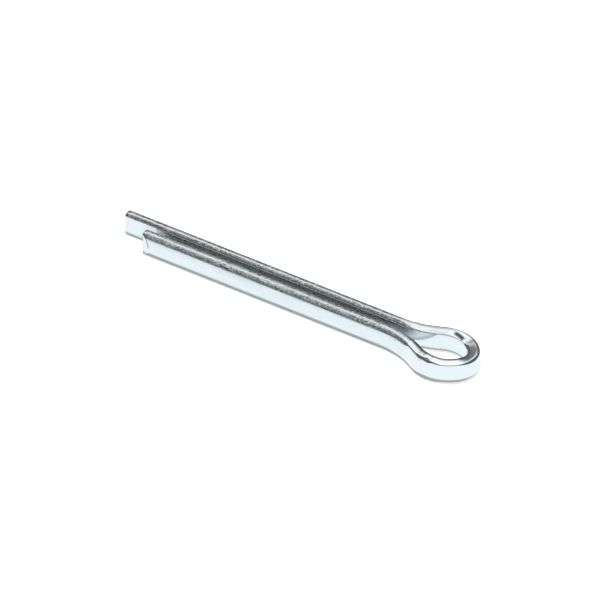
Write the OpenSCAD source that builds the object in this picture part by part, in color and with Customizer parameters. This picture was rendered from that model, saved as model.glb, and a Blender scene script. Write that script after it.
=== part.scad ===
// Cotter pin: one length of crowned wire, bent round an eye into two legs of unequal length.
// It lies flat: the legs run along X with the eye at +X, and Z is across the wire's flat face.

/* [Wire] */
// Height of the wire's section, across its flat inner face
wire_w = 2.85; // [2.5:0.05:3.2]
// Thickness of the wire, from the flat inner face to the top of the crown
wire_t = 1.45; // [1.3:0.05:1.7]
// Radius of the crowned outer face
crown_r = 3; // [2:0.1:8]
// Rounding of the two edges of the flat inner face
inner_edge_r = 0.5; // [0.2:0.05:0.6]
// Rounding of the two edges of the crowned outer face
outer_edge_r = 0.7; // [0.3:0.05:0.9]

/* [Legs] */
// Gap between the flat faces of the two legs
leg_gap = 0.75; // [0.1:0.05:1.5]
// Straight length of the short leg, from its bend to its end
leg_len = 30.4; // [10:0.1:60]
// How much further the long leg reaches than the short one
prong_extra = 3.6; // [0:0.1:8]
// Length of the bevel on the outside of each leg's end
bevel_len = 0.9; // [0.2:0.05:2]
// Depth of that bevel, measured in from the crown
bevel_depth = 0.35; // [0.1:0.05:0.8]

/* [Eye] */
// Width of the opening in the eye
eye_w = 4.1; // [3.4:0.05:4.9]
// Sideways offset of the eye's middle from the middle of the legs
eye_shift = 0.25; // [0:0.05:0.6]
// Inside radius of the two sides of the eye
side_r = 3.1; // [2.6:0.05:5]
// Inside radius of the eye's nose
nose_r = 1.5; // [0.6:0.05:1.65]
// Radius of the bend where each leg's flat face leaves the shank
root_r = 10.75; // [3:0.25:20]

/* [Pressed flats] */
// Height that the wire is pressed to, round the eye
press_h = 2.05; // [1.7:0.05:2.4]
// Length of the slope from the wire's full height down to the flat
press_slope = 1.4; // [0.4:0.1:3]
// How far the long leg's slope starts behind the eye's widest place
long_press = 4.9; // [3:0.1:8]
// How far the short leg's slope starts behind the eye's widest place
short_press = 2.9; // [2:0.1:8]

/* [Hidden] */
$fn = 64;

half_w = wire_w / 2;
eye_half = eye_w / 2;
reach = root_r + side_r;
cut_margin = 1;

// Curves meet end to end, so the places and angles that they share are whole thousandths
function whole(value) = round(value * 1000) / 1000;

// Section: each outer corner is tangent to the crown, so both centres lie on one line
corner_drop = half_w - outer_edge_r;
crown_turn = asin(corner_drop / (crown_r - outer_edge_r));
crown_back = (crown_r - outer_edge_r) * cos(crown_turn);
corner_x = whole(wire_t - crown_r + crown_back);
inner_r = min(inner_edge_r, corner_x);

// Eye: each side arc turns on past the widest point until the nose arc takes over
nose_turn = whole(acos((side_r - eye_half) / (side_r - nose_r)));
nose_x = (side_r - nose_r) * sin(nose_turn);
side_mid_y = (nose_r - side_r) * cos(nose_turn);

// Turn of the bend that brings a leg's flat face, leg_y from the eye's axis, out to the eye's width
function root_turn(leg_y) = whole(acos(1 - (eye_half - leg_y) / reach));
far_turn = root_turn(leg_gap / 2 + eye_shift);
near_turn = root_turn(leg_gap / 2 - eye_shift);

press_depth = (wire_w - press_h) / 2;
press_span = 2 * (eye_w + wire_t);
nose_end = nose_x + nose_r + wire_t;

short_end = reach * sin(near_turn) + leg_len;
long_end = short_end + prong_extra;
mid_x = (nose_end - long_end) / 2;

// Moves by whole hundredths first and then by the rest, so that the joints meet closely
module place(to) {
    step = [for (v = to) round(v * 100) / 100];
    translate(step) translate(to - step) children();
}

// Lower half of the wire's outline: x is the distance out from the flat face, y is the height
module half_section() {
    outward = wire_w * [cos(crown_turn), -sin(crown_turn)];
    difference() {
        square([corner_x, half_w]);
        difference() {
            square(inner_r);
            translate([inner_r, inner_r]) circle(inner_r);
        }
    }
    translate([corner_x, outer_edge_r]) {
        intersection() {
            circle(outer_edge_r);
            polygon([[0, 0], [0, -wire_w], outward]);
        }
        intersection() {
            place([-crown_back, corner_drop]) circle(crown_r);
            polygon([[0, 0], outward, [wire_w, corner_drop], [0, corner_drop]]);
        }
    }
}

module wire_section() {
    half_section();
    translate([0, wire_w]) mirror([0, 1]) half_section();
}

// Straight run of wire along X that ends at the origin, with its flat face at y = 0
module straight(len) {
    translate([-len, 0, 0]) rotate([90, 0, 90]) linear_extrude(len) wire_section();
}

// Bend about the origin whose flat face is on the inside of the curve
module inward_bend(r, from, turn) {
    rotate_extrude(angle = turn, start = from) place([r, 0]) wire_section();
}

// Bend about the origin whose flat face is on the outside of the curve
module outward_bend(r, from, turn) {
    rotate_extrude(angle = turn, start = from) place([r, 0]) mirror([1, 0]) wire_section();
}

// Wedge that takes the bevel off the outside of a leg's end, which is at the origin
module bevel_cut() {
    slope = bevel_depth / bevel_len;
    translate([0, wire_t, -cut_margin]) linear_extrude(wire_w + 2 * cut_margin)
        polygon([
            [-cut_margin, -bevel_depth - slope * cut_margin],
            [bevel_len + cut_margin, slope * cut_margin],
            [-cut_margin, slope * cut_margin],
        ]);
}

// Block that presses the wire's upper side flat, from a slope that starts at start_x
module press_cut(start_x) {
    slope = press_depth / press_slope;
    rotate([90, 0, 0]) linear_extrude(press_span, center = true)
        polygon([
            [start_x - cut_margin / slope, wire_w + cut_margin],
            [start_x + press_slope, wire_w - press_depth],
            [nose_end + cut_margin, wire_w - press_depth],
            [nose_end + cut_margin, wire_w + cut_margin],
        ]);
}

// Wire with both sides pressed flat round the eye
module pressed(start_x) {
    difference() {
        children();
        press_cut(start_x);
        translate([0, 0, wire_w]) mirror([0, 0, 1]) press_cut(start_x);
    }
}

// One leg with its bend and its side of the eye, on the +Y side of the eye's long axis
module side(turn, end_x) {
    len = end_x - reach * sin(turn);
    place([0, side_mid_y, 0]) inward_bend(side_r, 90 - nose_turn, nose_turn + turn);
    place([-reach * sin(turn), side_mid_y + reach * cos(turn), 0]) {
        outward_bend(root_r, 270, turn);
        translate([0, -root_r, 0]) difference() {
            straight(len);
            translate([-len, 0, 0]) bevel_cut();
        }
    }
}

module cotter_pin() {
    color([0.78, 0.8, 0.82]) translate([-mid_x, 0, 0]) {
        pressed(-long_press) side(far_turn, long_end);
        pressed(-short_press) mirror([0, 1, 0]) side(near_turn, short_end);
        pressed(-short_press) place([nose_x, 0, 0])
            inward_bend(nose_r, 270 + nose_turn, 180 - 2 * nose_turn);
    }
}

cotter_pin();
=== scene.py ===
import math

import bmesh
import bpy
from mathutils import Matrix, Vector


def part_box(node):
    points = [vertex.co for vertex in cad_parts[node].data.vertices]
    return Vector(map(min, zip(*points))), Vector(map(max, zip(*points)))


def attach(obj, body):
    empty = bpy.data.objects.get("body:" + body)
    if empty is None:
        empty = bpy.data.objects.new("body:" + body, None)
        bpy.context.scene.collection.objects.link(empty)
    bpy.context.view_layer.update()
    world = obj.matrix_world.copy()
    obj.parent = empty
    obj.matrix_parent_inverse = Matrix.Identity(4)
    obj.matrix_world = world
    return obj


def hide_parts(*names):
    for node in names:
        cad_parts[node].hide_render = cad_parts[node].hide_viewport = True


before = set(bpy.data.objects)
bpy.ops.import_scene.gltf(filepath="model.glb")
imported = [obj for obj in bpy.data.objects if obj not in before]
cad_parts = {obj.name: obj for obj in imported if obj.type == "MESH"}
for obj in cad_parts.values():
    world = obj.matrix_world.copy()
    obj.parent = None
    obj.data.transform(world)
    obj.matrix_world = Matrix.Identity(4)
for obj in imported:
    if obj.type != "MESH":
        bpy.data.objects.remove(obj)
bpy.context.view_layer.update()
mm = 0.001
tiny = 1e-8  # two places closer than this are the same place

pin = {
    "wireWidth": 2.85 * mm,      # across the flat inner face
    "wireThick": 1.45 * mm,      # from the flat face to the top of the crown
    "crownRadius": 3.0 * mm,
    "innerEdge": 0.5 * mm,       # rounding of the flat face's two edges
    "outerEdge": 0.7 * mm,       # rounding of the crown's two edges
    "legGap": 0.75 * mm,         # between the two flat faces
    "eyeShift": 0.25 * mm,       # of the eye's middle from the legs' middle
    "sideRadius": 3.1 * mm,
    "noseRadius": 1.5 * mm,
    "rootRadius": 10.75 * mm,
    "prongExtra": 3.6 * mm,
    "bevelLength": 0.9 * mm,
    "bevelDepth": 0.35 * mm,
    "trimLengths": 4,            # so many bevel lengths of a leg's end are cut as one
    "pressedHeight": 2.05 * mm,  # the wire is pressed to this, round the eye
    # where the press starts and where it is full, along the wire behind the eye's widest place,
    # on the long leg's side, 1, and on the short leg's, -1
    "presses": {1: (7.2 * mm, 2.6 * mm), -1: (0.5 * mm, -1.5 * mm)},
    # the same in mm, with the rounding of the wire's inner and outer edges there, and how much
    # higher than an even press each of the two is left
    "edges": {
        1: ((6.4, 0.50, 0.70, 0, 0), (5.4, 0.34, 0.62, -0.02, 0.03),
            (4.4, 0.10, 0.42, -0.04, 0.10), (2.6, 0.05, 0.42, 0, 0.25),
            (-1.4, 0.05, 0.42, 0, 0.25), (-1.9, 0.34, 0.44, 0.03, 0.25),
            (-3.72, 0.36, 0.44, 0.12, 0.16)),
        -1: ((4.2, 0.50, 0.70, 0, 0), (3.2, 0.46, 0.65, 0, -0.05), (2.7, 0.40, 0.24, 0, -0.17),
             (1.3, 0.36, 0.24, 0, -0.19), (0.7, 0.34, 0.44, 0, -0.15),
             (-0.1, 0.34, 0.44, 0.03, -0.04), (-0.7, 0.35, 0.14, 0.15, 0.05),
             (-1.3, 0.35, 0.07, 0.20, 0.09), (-2.4, 0.35, 0.06, 0.21, 0.10),
             (-3.72, 0.36, 0.44, 0.12, 0.16)),
    },
    "pressedCrown": 6.0 * mm,    # the outer face is flatter round the eye
    "liftFade": 0.3,             # share of the height, above the middle, over which a lift grows
    "finishRange": 0.5,          # mm less rounding than drawn, at which the finish is the press's
    "cornerRounding": (0.2, 0.3),  # mm at the inner edge, over which its painted shade line comes in
    "cornerSpan": ((4.5, 3.0), (-3.8, -2.6)),  # where along the wire it comes in, and goes
    "tipEdge": 0.08 * mm,        # rounding of the cut ends
    "tipSegments": 2,
    "sides": 96,                 # points round the wire
    "stepDegrees": 1.5,
    "rootStepDegrees": 0.375,
    "fewestSteps": 4,
    "legSteps": 60,
    "sharpDegrees": 30,          # a steeper edge stays sharp
}


def pinPlan(p):
    # the pin's line, from its box: where each bend starts and how far it turns
    low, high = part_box("cotter_pin")
    plan = {}
    eyeHalf = (high.y - low.y) / 2 - p["wireThick"]
    reach = p["rootRadius"] + p["sideRadius"]
    noseTurn = math.acos((p["sideRadius"] - eyeHalf) / (p["sideRadius"] - p["noseRadius"]))
    plan["noseTurn"] = noseTurn
    plan["noseX"] = high.x - p["wireThick"] - p["noseRadius"]
    plan["eyeX"] = plan["noseX"] - (p["sideRadius"] - p["noseRadius"]) * math.sin(noseTurn)
    plan["sideY"] = eyeHalf - p["sideRadius"]
    plan["ends"] = {1: low.x, -1: low.x + p["prongExtra"]}
    plan["flats"] = {1: p["legGap"] / 2 + p["eyeShift"], -1: p["legGap"] / 2 - p["eyeShift"]}
    plan["noseReach"] = p["sideRadius"] * noseTurn + p["noseRadius"] * (math.pi / 2 - noseTurn)
    plan["turns"] = {}
    plan["roots"] = {}
    for side in (1, -1):
        plan["turns"][side] = math.acos(1 - (eyeHalf - plan["flats"][side]) / reach)
        plan["roots"][side] = plan["eyeX"] - reach * math.sin(plan["turns"][side])
    # from the middle of the nose to the short leg's end, along the wire, in mm
    plan["nearTip"] = (plan["noseReach"] + reach * plan["turns"][-1] + plan["roots"][-1]
                       - plan["ends"][-1]) / mm
    return plan


def outlinePoint(p, facing, innerEdge, outerEdge, height, crownRadius):
    # the point of the wire's outline that faces this way: how far out from the flat face, how high
    half = height / 2
    drop = half - outerEdge
    crownTurn = math.asin(drop / (crownRadius - outerEdge))
    crownX = p["wireThick"] - crownRadius
    outerX = crownX + (crownRadius - outerEdge) * math.cos(crownTurn)
    up = 1 if math.sin(facing) > 0 else -1
    if abs(math.remainder(facing, math.tau)) < crownTurn:
        centre, radius = (crownX, 0), crownRadius
    elif math.cos(facing) > 0:
        centre, radius = (outerX, up * drop), outerEdge
    else:
        centre, radius = (innerEdge, up * (half - innerEdge)), innerEdge
    out = centre[0] + radius * math.cos(facing)
    return out, p["wireWidth"] / 2 + centre[1] + radius * math.sin(facing)


def facingOf(p, index):
    return (index + 0.5) / p["sides"] * math.tau


def deselectAll():
    bpy.ops.object.select_all(action="DESELECT")


def wireEnd(p, plan):
    # a disc at the far leg's end, its rim drawn out to the wire's outline
    bpy.ops.mesh.primitive_circle_add(vertices=p["sides"], radius=p["wireThick"], fill_type="NGON",
                                      location=(plan["ends"][1], 0, 0))
    piece = bpy.context.object
    bpy.ops.object.transform_apply(location=True, rotation=True, scale=True)
    bpy.ops.object.mode_set(mode="EDIT")
    bm = bmesh.from_edit_mesh(piece.data)
    around = bm.verts.layers.int.new("around")
    for v in bm.verts:
        v[around] = v.index
        out, up = outlinePoint(p, facingOf(p, v.index), p["innerEdge"], p["outerEdge"],
                               p["wireWidth"], p["crownRadius"])
        v.co = (plan["ends"][1], plan["flats"][1] + out, up)
    bmesh.update_edit_mesh(piece.data)
    return piece


def run(length, steps):
    # the selected end face moves along X in even steps
    for _ in range(steps):
        bpy.ops.mesh.extrude_region_move(TRANSFORM_OT_translate={"value": (length / steps, 0, 0)})


def bend(p, angle, centre, stepDegrees):
    # the selected end face turns about an upright axis
    steps = max(p["fewestSteps"], round(abs(math.degrees(angle)) / stepDegrees))
    bpy.ops.mesh.spin(steps=steps, angle=angle, center=(centre[0], centre[1], 0), axis=(0, 0, 1),
                      use_auto_merge=False)


def trimTip(p, side, plan):
    # the bevel on the outside of a leg's end
    endX, flat = plan["ends"][side], plan["flats"][side]
    slope = Vector((-p["bevelDepth"], side * p["bevelLength"], 0)).normalized()
    start = (endX, side * (flat + p["wireThick"] - p["bevelDepth"]), 0)
    tipEnd = endX + p["trimLengths"] * p["bevelLength"]
    mesh = bpy.context.object.data
    bm = bmesh.from_edit_mesh(mesh)
    for v in bm.verts:
        v.select_set(v.co.x < tipEnd and v.co.y * side > flat - tiny)
    bm.select_flush(True)
    bmesh.update_edit_mesh(mesh)
    bpy.ops.mesh.bisect(plane_co=start, plane_no=slope, clear_outer=True, use_fill=True,
                        threshold=tiny)


def roundTips(p):
    # the two cut ends lose their sharp rim
    mesh = bpy.context.object.data
    bm = bmesh.from_edit_mesh(mesh)
    for face in bm.faces:
        face.select_set(False)
    facesBack = -0.99  # a cut end looks straight back along X
    for edge in bm.edges:
        ends = [face.normal.x < facesBack for face in edge.link_faces]
        edge.select_set(len(ends) == 2 and ends[0] != ends[1])
    bmesh.update_edit_mesh(mesh)
    bpy.ops.mesh.bevel(offset=p["tipEdge"], offset_type="OFFSET", segments=p["tipSegments"],
                       profile=0.5, clamp_overlap=False)


def wirePlace(p, plan, x, y):
    # how far along the wire a point is, back from the eye's widest place, and which way is out
    side = 1 if y > 0 else -1
    ys = y * side
    turn, root, flat = plan["turns"][side], plan["roots"][side], plan["flats"][side]
    heading = math.atan2(plan["eyeX"] - x, ys - plan["sideY"])
    if heading < -plan["noseTurn"]:
        heading = math.atan2(plan["noseX"] - x, ys)
        along = -p["sideRadius"] * plan["noseTurn"] + p["noseRadius"] * (heading + plan["noseTurn"])
    elif heading < turn:
        along = p["sideRadius"] * heading
    elif x > root:
        heading = math.atan2(x - root, flat + p["rootRadius"] - ys)
        along = p["sideRadius"] * turn + p["rootRadius"] * (turn - heading)
    else:
        heading = 0
        along = p["sideRadius"] * turn + p["rootRadius"] * turn + root - x
    return side, along, Vector((-math.sin(heading), math.cos(heading) * side, 0))


def smooth(value):
    value = min(1, max(0, value))
    return value * value * (3 - 2 * value)


def fade(value, zero, one):
    # from 0 to 1 between two values, smoothly
    return smooth((value - zero) / (one - zero))


def edgesAt(stations, along):
    # the edges' roundings and heights at this place along the wire
    if along >= stations[0][0]:
        return stations[0][1:]
    for back, front in zip(stations, stations[1:]):
        if along >= front[0]:
            share = fade(along, back[0], front[0])
            return tuple(a + (b - a) * share for a, b in zip(back[1:], front[1:]))
    return stations[-1][1:]


def pressEye(p, plan, mesh):
    # round the eye the wire is pressed: flatter on top and below, with sharper edges
    mesh.attributes.new("unbent", "FLOAT_VECTOR", "POINT")
    mesh.attributes.new("pressed", "FLOAT", "POINT")
    mesh.attributes.new("corner", "FLOAT", "POINT")
    around = mesh.attributes["around"].data
    unbent = mesh.attributes["unbent"].data
    pressed = mesh.attributes["pressed"].data
    corner = mesh.attributes["corner"].data
    leastRounding, fullRounding = p["cornerRounding"]
    for v, tag in zip(mesh.vertices, around):
        side, along, out = wirePlace(p, plan, v.co.x, v.co.y)
        facing = facingOf(p, tag.value)
        plain = outlinePoint(p, facing, p["innerEdge"], p["outerEdge"], p["wireWidth"],
                             p["crownRadius"])
        start, end = p["presses"][side]
        share = fade(along, start, end)
        height = p["wireWidth"] + (p["pressedHeight"] - p["wireWidth"]) * share
        inner, outer, innerLift, outerLift = edgesAt(p["edges"][side], along / mm)
        crown = p["crownRadius"] + (p["pressedCrown"] - p["crownRadius"]) * share
        shaped = outlinePoint(p, facing, inner * mm, outer * mm, height, crown)
        v.co += out * (shaped[0] - plain[0])
        v.co.z += shaped[1] - plain[1]
        lift = innerLift + (outerLift - innerLift) * shaped[0] / p["wireThick"]
        aboveMiddle = (shaped[1] - p["wireWidth"] / 2) / height
        v.co.z += lift * mm * smooth(aboveMiddle / p["liftFade"])
        # what the finish follows: the point's place on the straight wire, in mm, how far it is
        # pressed, and whether it lies by the painted shade line on top, inside the eye
        unbent[v.index].vector = (side * (along + plan["noseReach"]) / mm,
                                  shaped[0] / mm, shaped[1] / mm)
        pressed[v.index].value = min(1, (p["outerEdge"] / mm - outer) / p["finishRange"])
        if side < 0 and math.sin(facing) > 0:
            line = min(1, max(0, (inner - leastRounding) / (fullRounding - leastRounding)))
            for zero, one in p["cornerSpan"]:
                line *= fade(along / mm, zero, one)
            corner[v.index].value = line


def makePin(p):
    plan = pinPlan(p)
    deselectAll()
    piece = wireEnd(p, plan)
    bpy.ops.mesh.select_all(action="SELECT")
    step, rootStep = p["stepDegrees"], p["rootStepDegrees"]
    nose, sideY = plan["noseTurn"], plan["sideY"]
    turns, roots, flats, ends = plan["turns"], plan["roots"], plan["flats"], plan["ends"]
    run(roots[1] - ends[1], p["legSteps"])
    bend(p, -turns[1], (roots[1], flats[1] + p["rootRadius"]), rootStep)
    bend(p, turns[1] + nose, (plan["eyeX"], sideY), step)
    bend(p, math.pi - 2 * nose, (plan["noseX"], 0), step)
    bend(p, turns[-1] + nose, (plan["eyeX"], -sideY), step)
    bend(p, -turns[-1], (roots[-1], -flats[-1] - p["rootRadius"]), rootStep)
    run(ends[-1] - roots[-1], p["legSteps"])
    bpy.ops.object.mode_set(mode="OBJECT")
    pressEye(p, plan, piece.data)
    bpy.ops.object.mode_set(mode="EDIT")
    trimTip(p, 1, plan)
    trimTip(p, -1, plan)
    bpy.ops.mesh.select_all(action="SELECT")
    bpy.ops.mesh.remove_doubles(threshold=tiny)
    bpy.ops.mesh.normals_make_consistent(inside=False)
    bpy.ops.mesh.select_all(action="DESELECT")
    bpy.ops.mesh.select_mode(type="EDGE")
    roundTips(p)
    bpy.ops.object.mode_set(mode="OBJECT")
    bpy.ops.object.shade_smooth_by_angle(angle=math.radians(p["sharpDegrees"]))
    even = piece.modifiers.new("even_shading", "WEIGHTED_NORMAL")
    even.keep_sharp = True
    bpy.ops.object.modifier_apply(modifier=even.name)
    piece.name = "pin_wire"
    piece.data.name = "pin_wire"
    return piece, plan


pinWire, plan = makePin(pin)
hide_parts("cotter_pin")
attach(pinWire, "root")
print("pin wire made,", len(pinWire.data.polygons), "faces")

plating = {
    "bright": (0.86, 0.92, 0.945, 1),
    "dullAndShade": (0.43, 0.46, 0.48, 1),   # the drawn edges' darker spots, partly the plating's mottling and partly painted shade, and the painted shade on the far top rim
    "dark": (0.27, 0.30, 0.32, 1),   # painted shade lines: along the inside edge of the eye, and behind the bevel
    # grain, larger patches, and stretches of the drawn edges: how many to the mm, how finely
    # divided, and how rough
    "grain": (7.5, 3.0, 0.6),
    "patches": (1.875, 2.0, 0.5),
    "stretches": (0.9, 1.0, 0.5),
    "grainStretch": 0.35,            # drawn out along the wire
    "grainHeight": 0.0035 * mm,
    "pressedGrain": 0.2,             # share of the grain left where the wire is pressed
    "crownGrain": 0.16,              # share of the grain on the crown, between the edges
    "dullAndShadeGrain": (0.52, 0.36),       # grain over which the drawn edges take that darker colour
    "mattGrain": (0.50, 0.64),       # grain over which it turns matt
    # the two drawn edges, and how they come and go along the wire
    "edgeHeight": (0.80, 1.15),      # mm above or below the wire's middle, where they begin
    "pressedEdge": 0.3,              # share of them left where the wire is pressed
    "stretchRange": (0.35, 0.65),
    "stretchLeast": 0.45,            # share of them left in their faintest stretches
    "roughness": (0.15, 0.26),
    "roughPatches": (0.3, 0.7),      # patches over which it goes from the one to the other
    "shortLegRougher": 0.06,
    "shortLegFrom": (-3.0, -5.0),    # mm from the nose, along the wire
    "pressedRoughness": 0.08,
    "mattSpots": 0.45,               # their roughness, in the drawn edges
    # painted shade on the flat faces where the legs lie side by side
    "between": (0.74, 0.77, 0.77, 1),
    "betweenFrom": 11.5,             # mm from the nose, along the wire
    "betweenPast": 0.6,              # mm past the short leg's end
    "betweenSoft": 1.0,
    "betweenOut": (0.05, 0.2),       # mm out from the flat face, over which it ends
    # a tool mark on top of the eye, not shaped: its dent's dark reflection is painted on. In mm:
    # its two ends along the wire, counted from the nose, its middle out from the flat face, how far
    # that drifts per mm, and half its width
    "mark": (2.75, 4.0, 0.60, 0.235, 0.24),
    "markSoft": (0.18, 0.1),         # at its ends, and at its sides
    "markReflectionTone": (0.09, 0.10, 0.105, 1),
    "topFrom": 0.4,                  # mm above the wire's middle, for the mark and the rim
    # two limits in mm and their softness: for the painted shade on the far top rim, along the wire
    # and out from the flat face, and for the painted shade line behind the bevel's edge, across it
    # and in height
    "rimShadeAlong": (4.2, 9.0, 0.8),
    "rimShadeOut": (0.80, 3.0, 0.15),
    "cutLine": (0.02, 0.15, 0.02),
    "cutHeight": (1.45, 2.6, 0.2),
    "edgeLine": (0.45, 0.60),        # mm out, where the painted shade line inside the eye ends
}


def addNode(tree, kind, settings=None, **links):
    # a node, its plain settings, and what is linked into its named sockets
    node = tree.nodes.new(kind)
    for name, value in (settings or {}).items():
        setattr(node, name, value)
    for name, value in links.items():
        socket = node.inputs[int(name[1:])] if name[0] == "_" else node.inputs[name]
        if isinstance(value, bpy.types.NodeSocket):
            tree.links.new(value, socket)
        else:
            socket.default_value = value
    return node


def addMath(tree, operation, *values):
    sockets = {f"_{index}": value for index, value in enumerate(values)}
    return addNode(tree, "ShaderNodeMath", {"operation": operation}, **sockets).outputs[0]


def addAttribute(tree, name, output):
    return addNode(tree, "ShaderNodeAttribute", {"attribute_name": name}).outputs[output]


def addNoise(tree, place, scale, detail, roughness):
    noise = addNode(tree, "ShaderNodeTexNoise", Vector=place, Scale=scale, Detail=detail,
                    Roughness=roughness)
    return noise.outputs[0]


def addStep(tree, value, start, end, before=0.0, after=1.0):
    # goes smoothly from before to after, between two values
    step = addNode(tree, "ShaderNodeMapRange", {"interpolation_type": "SMOOTHSTEP"},
                   _0=value, _1=start, _2=end, _3=before, _4=after)
    return step.outputs[0]


def addRamp(tree, value, start, end, before, after):
    # goes from before to after in a straight line
    ramp = addNode(tree, "ShaderNodeMapRange", _0=value, _1=start, _2=end, _3=before, _4=after)
    return ramp.outputs[0]


def blend(tree, share, first, second):
    return addRamp(tree, share, 0.0, 1.0, first, second)


def mixColour(tree, share, first, second):
    mix = addNode(tree, "ShaderNodeMix", {"data_type": "RGBA"}, Factor=share, _6=first,
                  _7=second)
    return mix.outputs["Result"]


def softRange(tree, value, low, high, soft):
    # 1 between the two limits and 0 outside, with soft edges
    rise = addStep(tree, value, low - soft, low + soft)
    fall = addStep(tree, value, high - soft, high + soft, 1.0, 0.0)
    return addMath(tree, "MULTIPLY", rise, fall)


def wireValues(tree, p):
    # what the finish follows: the place on the straight wire, the press, the grain, and the two
    # drawn edges, which are bands by height above and below the wire's middle
    place = addAttribute(tree, "unbent", "Vector")
    split = addNode(tree, "ShaderNodeSeparateXYZ", _0=place)
    drawn = addNode(tree, "ShaderNodeVectorMath", {"operation": "MULTIPLY"},
                    _0=place, _1=(p["grainStretch"], 1, 1)).outputs[0]
    wire = {"along": split.outputs["X"], "out": split.outputs["Y"], "up": split.outputs["Z"]}
    wire["pressed"] = addAttribute(tree, "pressed", "Fac")
    wire["grain"] = addNoise(tree, drawn, *p["grain"])
    wire["patches"] = addNoise(tree, drawn, *p["patches"])
    fromMiddle = addMath(tree, "SUBTRACT", wire["up"], pin["wireWidth"] / mm / 2)
    wire["onTop"] = addMath(tree, "GREATER_THAN", fromMiddle, p["topFrom"])
    wire["edge"] = addStep(tree, addMath(tree, "ABSOLUTE", fromMiddle), *p["edgeHeight"])
    left = blend(tree, wire["pressed"], 1.0, p["pressedEdge"])
    edgeLeft = addMath(tree, "MULTIPLY", wire["edge"], left)
    stretch = addRamp(tree, addNoise(tree, drawn, *p["stretches"]), *p["stretchRange"],
                      p["stretchLeast"], 1.0)
    wire["drawnEdge"] = addMath(tree, "MULTIPLY", edgeLeft, stretch)
    return wire


def shadeBetweenLegs(tree, p, wire, nearTip):
    # painted shade on the flat faces where the legs lie side by side
    fromNose = addMath(tree, "ABSOLUTE", wire["along"])
    sideBySide = softRange(tree, fromNose, p["betweenFrom"], nearTip + p["betweenPast"],
                           p["betweenSoft"])
    flat = addStep(tree, wire["out"], *p["betweenOut"], 1.0, 0.0)
    return addMath(tree, "MULTIPLY", sideBySide, flat)


# painted shade on the top of the eye's far rim
def farRimShade(tree, p, wire):
    along = softRange(tree, wire["along"], *p["rimShadeAlong"])
    outward = softRange(tree, wire["out"], *p["rimShadeOut"])
    rim = addMath(tree, "MULTIPLY", along, outward)
    return addMath(tree, "MULTIPLY", rim, wire["onTop"])


def toolMarkReflection(tree, p, wire):
    start, end, middle, drift, halfWidth = p["mark"]
    endSoft, sideSoft = p["markSoft"]
    along = softRange(tree, wire["along"], start, end, endSoft)
    drifted = addMath(tree, "MULTIPLY_ADD", wire["along"], -drift, drift * end - middle)
    offMiddle = addMath(tree, "ADD", wire["out"], drifted)
    across = softRange(tree, offMiddle, -halfWidth, halfWidth, sideSoft)
    mark = addMath(tree, "MULTIPLY", along, across)
    return addMath(tree, "MULTIPLY", mark, wire["onTop"])


def eyeShadeLine(tree, p, wire):
    # a painted shade line along the inner top edge of the eye, on the short leg's side
    inside = addStep(tree, wire["out"], *p["edgeLine"], 1.0, 0.0)
    return addMath(tree, "MULTIPLY", addAttribute(tree, "corner", "Fac"), inside)


def bevelShadeLine(tree, p, wire, nearTip):
    # a painted shade line, placed by how far along the crown a place is from the near bevel's edge
    depth, length = pin["bevelDepth"] / mm, pin["bevelLength"] / mm
    cutStart = nearTip + length * (pin["wireThick"] / mm - depth) / depth
    cutOut = addMath(tree, "MULTIPLY_ADD", wire["out"], -length / depth, cutStart)
    line = softRange(tree, addMath(tree, "ADD", wire["along"], cutOut), *p["cutLine"])
    return addMath(tree, "MULTIPLY", line, softRange(tree, wire["up"], *p["cutHeight"]))


def plateColour(tree, p, wire, nearTip):
    # the drawn edges' darker spots: partly mottling of the plating, partly painted shade
    dullAndShadedSpots = addMath(tree, "MULTIPLY", addStep(tree, wire["grain"], *p["dullAndShadeGrain"]),
                        wire["drawnEdge"])
    # with the painted shade on the far top rim
    dullAndShade = addMath(tree, "MAXIMUM", dullAndShadedSpots, farRimShade(tree, p, wire))
    colour = mixColour(tree, dullAndShade, p["bright"], p["dullAndShade"])
    # painted shade between the legs
    colour = mixColour(tree, shadeBetweenLegs(tree, p, wire, nearTip), colour, p["between"])
    # painted shade lines inside the eye and behind the bevel
    dark = addMath(tree, "MAXIMUM", eyeShadeLine(tree, p, wire), bevelShadeLine(tree, p, wire, nearTip))
    colour = mixColour(tree, dark, colour, p["dark"])
    # the tool mark's dark reflection, painted on
    return mixColour(tree, toolMarkReflection(tree, p, wire), colour, p["markReflectionTone"])


def plateRoughness(tree, p, wire):
    patchy = addRamp(tree, wire["patches"], *p["roughPatches"], *p["roughness"])
    shortLeg = addRamp(tree, wire["along"], *p["shortLegFrom"], 0.0, p["shortLegRougher"])
    drawn = addMath(tree, "ADD", patchy, shortLeg)
    plain = blend(tree, wire["pressed"], drawn, p["pressedRoughness"])
    matt = addMath(tree, "MULTIPLY", addStep(tree, wire["grain"], *p["mattGrain"]),
                   wire["drawnEdge"])
    return blend(tree, matt, plain, p["mattSpots"])


def plateRelief(tree, p, wire):
    drawn = blend(tree, wire["edge"], p["crownGrain"], 1.0)
    amount = blend(tree, wire["pressed"], drawn, p["pressedGrain"])
    height = addMath(tree, "ADD", wire["grain"], wire["patches"])
    bump = addNode(tree, "ShaderNodeBump", Strength=amount, Distance=p["grainHeight"],
                   Height=height)
    return bump.outputs[0]


def platedSteel(p, nearTip):
    material = bpy.data.materials.new("zinc_plate")
    material.use_nodes = True
    tree = material.node_tree
    shader = tree.nodes["Principled BSDF"]
    shader.inputs["Metallic"].default_value = 1
    wire = wireValues(tree, p)
    tree.links.new(plateColour(tree, p, wire, nearTip), shader.inputs["Base Color"])
    tree.links.new(plateRoughness(tree, p, wire), shader.inputs["Roughness"])
    tree.links.new(plateRelief(tree, p, wire), shader.inputs["Normal"])
    return material


pinWire.data.materials.clear()
pinWire.data.materials.append(platedSteel(plating, plan["nearTip"]))
print("plating done")

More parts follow.
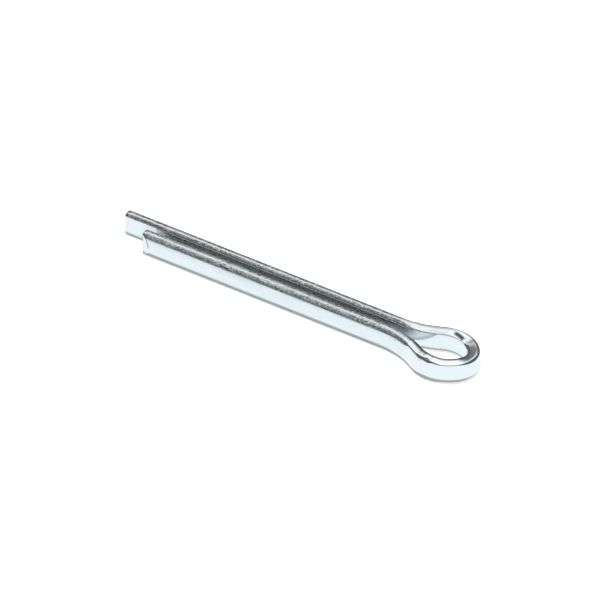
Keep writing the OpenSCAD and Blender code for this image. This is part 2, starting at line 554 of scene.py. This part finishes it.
studio = {
    "floorSize": 6.0,
    "floorColour": (0.95, 0.95, 0.95, 1),
    "floorGlow": 0.60,               # added for the camera, so that the open floor is white
    "shownFloor": (0.97, 1.01, 1.02, 1),  # the floor as the metal shows it
    "shownShadow": (0.42, 0.43, 0.43, 1),
    "deep": (1.0, 2.5),              # mirrored this often, the floor is no longer shown evenly
    "contact": (0.86 * mm, 1.18 * mm),  # nearer than this the metal shows its own shadow
    "sheet": (300 * mm, 500 * mm),   # beyond this the metal shows the dark room, not paper
    "topLight": 14.0,                # how much the light on the floor gathers
    "topWay": (0.05, -0.26, 0.96),   # where it gathers: overhead, a little to the front
    "overhead": (0.114, 0.115, 0.116, 1),
    "lowSky": (0.9, 0.93, 0.95, 1),
    "panel": (1.09, 1.10, 1.12, 1),
    "panelAcross": (-0.85, 0.02),    # its left and right edges, as parts of a direction
    "panelUp": (0.63, 0.86),         # its lower and upper edges
    "panelSoft": 0.05,
    "horizon": (0, 4),               # degrees, over which the room turns dark
}


def makeFloor(s):
    deselectAll()
    bpy.ops.mesh.primitive_plane_add(size=s["floorSize"])
    floor = bpy.context.object
    floor.name = "floor"
    material = bpy.data.materials.new("white_paper")
    material.use_nodes = True
    tree = material.node_tree
    tree.nodes.clear()
    rays = addNode(tree, "ShaderNodeLightPath").outputs
    paper = addNode(tree, "ShaderNodeBsdfDiffuse", Color=s["floorColour"])
    direct = addMath(tree, "MAXIMUM", rays["Is Camera Ray"], rays["Is Transmission Ray"])
    glow = addNode(tree, "ShaderNodeEmission",
                   Strength=addMath(tree, "MULTIPLY", direct, s["floorGlow"]))
    lit = addNode(tree, "ShaderNodeAddShader", _0=paper.outputs[0], _1=glow.outputs[0])
    # what the metal shows of the floor is even, but dark close to it, past the sheet's edge and
    # deep between the legs
    shallow = addRamp(tree, rays["Ray Depth"], *s["deep"], 1.0, 0.0)
    share = addMath(tree, "MULTIPLY", rays["Is Glossy Ray"], shallow)
    clear = addStep(tree, rays["Ray Length"], *s["contact"])
    past = addStep(tree, rays["Ray Length"], *s["sheet"])
    near = mixColour(tree, clear, s["shownShadow"], s["shownFloor"])
    shown = addNode(tree, "ShaderNodeEmission", Color=mixColour(tree, past, near, s["overhead"]))
    mix = addNode(tree, "ShaderNodeMixShader", _0=share, _1=lit.outputs[0], _2=shown.outputs[0])
    addNode(tree, "ShaderNodeOutputMaterial", Surface=mix.outputs[0])
    floor.data.materials.append(material)


def makeWorld(s):
    world = bpy.data.worlds.new("studio")
    bpy.context.scene.world = world
    world.use_nodes = True
    tree = world.node_tree
    tree.nodes.clear()
    rays = addNode(tree, "ShaderNodeLightPath").outputs
    way = addNode(tree, "ShaderNodeTexCoord").outputs["Generated"]
    split = addNode(tree, "ShaderNodeSeparateXYZ", _0=way)
    white = addNode(tree, "ShaderNodeBackground", Color=(1, 1, 1, 1))
    # soft light from above, which lights a flat floor just as an even white sky does
    topWay = Vector(s["topWay"]).normalized()
    facing = addNode(tree, "ShaderNodeVectorMath", {"operation": "DOT_PRODUCT"}, _0=way,
                     _1=topWay)
    above = addMath(tree, "MAXIMUM", facing.outputs["Value"], 0.0)
    gathered = addMath(tree, "POWER", above, s["topLight"])
    strength = addMath(tree, "MULTIPLY", gathered, (s["topLight"] + 2) / 2 / topWay.z)
    soft = addNode(tree, "ShaderNodeBackground", Color=(1, 1, 1, 1), Strength=strength)
    # the room that the metal shows: pale below the horizon, dark above, with one soft panel
    low, high = (math.sin(math.radians(a)) for a in s["horizon"])
    sky = mixColour(tree, addStep(tree, split.outputs["Z"], low, high), s["lowSky"], s["overhead"])
    across = softRange(tree, split.outputs["X"], *s["panelAcross"], s["panelSoft"])
    up = softRange(tree, split.outputs["Z"], *s["panelUp"], s["panelSoft"])
    ahead = addMath(tree, "GREATER_THAN", split.outputs["Y"], 0.0)
    panel = addMath(tree, "MULTIPLY", addMath(tree, "MULTIPLY", across, up), ahead)
    room = addNode(tree, "ShaderNodeBackground", Color=mixColour(tree, panel, sky, s["panel"]))
    direct = addMath(tree, "MAXIMUM", rays["Is Camera Ray"], rays["Is Transmission Ray"])
    backdrop = addNode(tree, "ShaderNodeMixShader", _0=direct, _1=soft.outputs[0],
                       _2=white.outputs[0])
    mix = addNode(tree, "ShaderNodeMixShader", _0=rays["Is Glossy Ray"],
                  _1=backdrop.outputs[0], _2=room.outputs[0])
    addNode(tree, "ShaderNodeOutputWorld", Surface=mix.outputs[0])


makeFloor(studio)
makeWorld(studio)
print("studio lit")

view = {
    "target": (-0.609 * mm, 1.386 * mm, 0),
    "azimuth": 34.611,
    "elevation": 35.0,
    "distance": 1241.1 * mm,
    "focalPixels": 11827,
    "imageWidth": 600,
    "sensorWidth": 36,
}


def makeCamera(v):
    turn, lift = math.radians(v["azimuth"]), math.radians(v["elevation"])
    level = math.cos(lift)
    back = Vector((math.sin(turn) * level, -math.cos(turn) * level, math.sin(lift)))
    camera = bpy.data.cameras.new("camera")
    camera.sensor_width = v["sensorWidth"]
    camera.lens = v["focalPixels"] / v["imageWidth"] * v["sensorWidth"]
    holder = bpy.data.objects.new("camera", camera)
    bpy.context.scene.collection.objects.link(holder)
    holder.location = Vector(v["target"]) + back * v["distance"]
    holder.rotation_euler = back.to_track_quat("Z", "Y").to_euler()
    bpy.context.scene.camera = holder


makeCamera(view)
bpy.context.scene.view_settings.view_transform = "Standard"
print("camera set")

bpy.context.view_layer.update()
